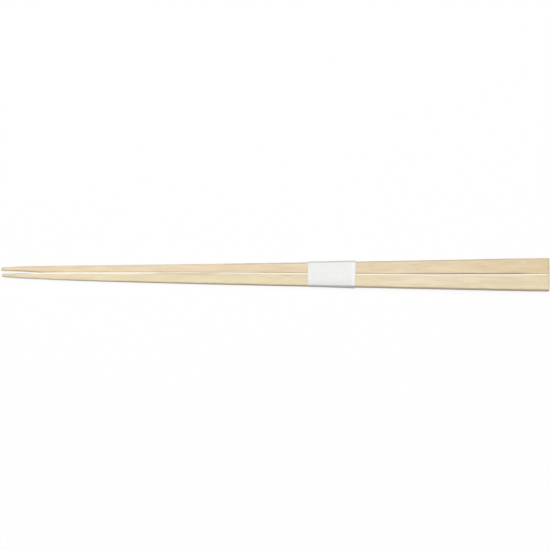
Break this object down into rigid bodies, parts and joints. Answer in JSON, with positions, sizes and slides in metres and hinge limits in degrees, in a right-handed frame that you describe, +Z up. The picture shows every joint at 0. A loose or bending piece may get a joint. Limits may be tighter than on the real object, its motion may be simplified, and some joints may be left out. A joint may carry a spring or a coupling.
{
  "type": "bamboo chopsticks",
  "caption": "Bamboo chopsticks lying side by side, tapered to drawn-in points with square-cut butts, held together by a plain white paper band.",
  "frame": {"origin": "on the resting surface, under the middle of the bundle's length and width", "axes": "+X along the sticks from the points to the butts, +Y from the front stick to the rear stick, +Z up from the resting surface"},
  "size_m": [0.24, 0.014, 0.0053],
  "materials": {
    "bamboo": "bare bamboo, planed and lightly sanded, straight grain",
    "paper": "matt white uncoated paper"
  },
  "bodies": {
    "root": {"rear_chopstick": "bamboo", "front_chopstick": "bamboo", "paper_band": "paper"}
  },
  "joints": []
}
